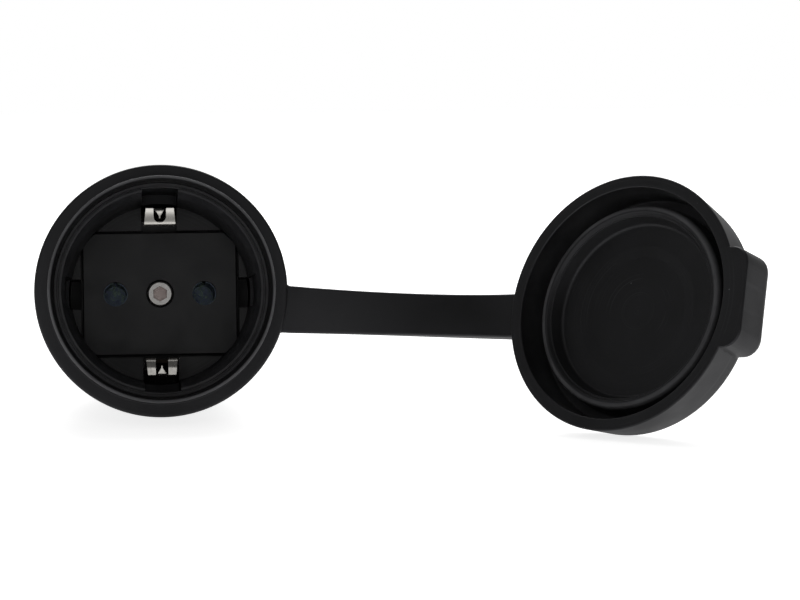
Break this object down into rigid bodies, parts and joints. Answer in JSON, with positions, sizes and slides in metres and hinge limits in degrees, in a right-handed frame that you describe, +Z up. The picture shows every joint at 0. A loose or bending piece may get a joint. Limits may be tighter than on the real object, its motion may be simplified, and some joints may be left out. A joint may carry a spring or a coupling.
{
  "type": "schuko coupler",
  "caption": "Rubber inline socket for earthed plugs, with a ribbed grip, a slit cord neck and a protective cap open on its rubber strap.",
  "frame": {"origin": "centre of the base of the bounding box, on the table that the coupler lies on", "axes": "+Z up. The socket opens towards -Y and a little up, the cord neck points to +Y and a little down, and the cap stands open on the +X side"},
  "size_m": [0.1462, 0.1758, 0.0542],
  "materials": {
    "black_rubber": "matt, finely grained",
    "black_plastic": "satin moulded",
    "brass": "bright turned",
    "nickel_plate": "bright nickel plate on brass",
    "spring_steel": "bright spring steel",
    "zinc_steel": "zinc plated"
  },
  "bodies": {
    "housing": {"housing": "black_rubber", "strap": "black_rubber", "insert_pot": "black_plastic", "contact_carrier": "black_plastic", "rear_cover": "black_plastic", "line_contact_left": "nickel_plate", "line_contact_right": "nickel_plate", "sleeve_spring_left": "spring_steel", "sleeve_spring_right": "spring_steel", "line_screw_left": "zinc_steel", "line_screw_right": "zinc_steel", "earth_strap": "nickel_plate", "earth_screw": "zinc_steel", "earth_washer": "zinc_steel", "earth_nut": "brass", "centre_screw": "zinc_steel", "centre_nut": "zinc_steel", "clamp_bar": "black_plastic", "clamp_screw_left": "zinc_steel", "clamp_screw_right": "zinc_steel"},
    "cap": {"cap": "black_rubber"}
  },
  "joints": [
    {"name": "cap_bend", "type": "hinge", "parent": "housing", "child": "cap", "pos_m": [0.00621, -0.0303, 0.02272], "axis": [0.0981, 0.2215, 0.9702], "range_deg": [-137.2, 40], "stiffness_Nm_per_rad": 0.012, "springref_deg": -9.17, "deforming": ["strap"]}
  ]
}
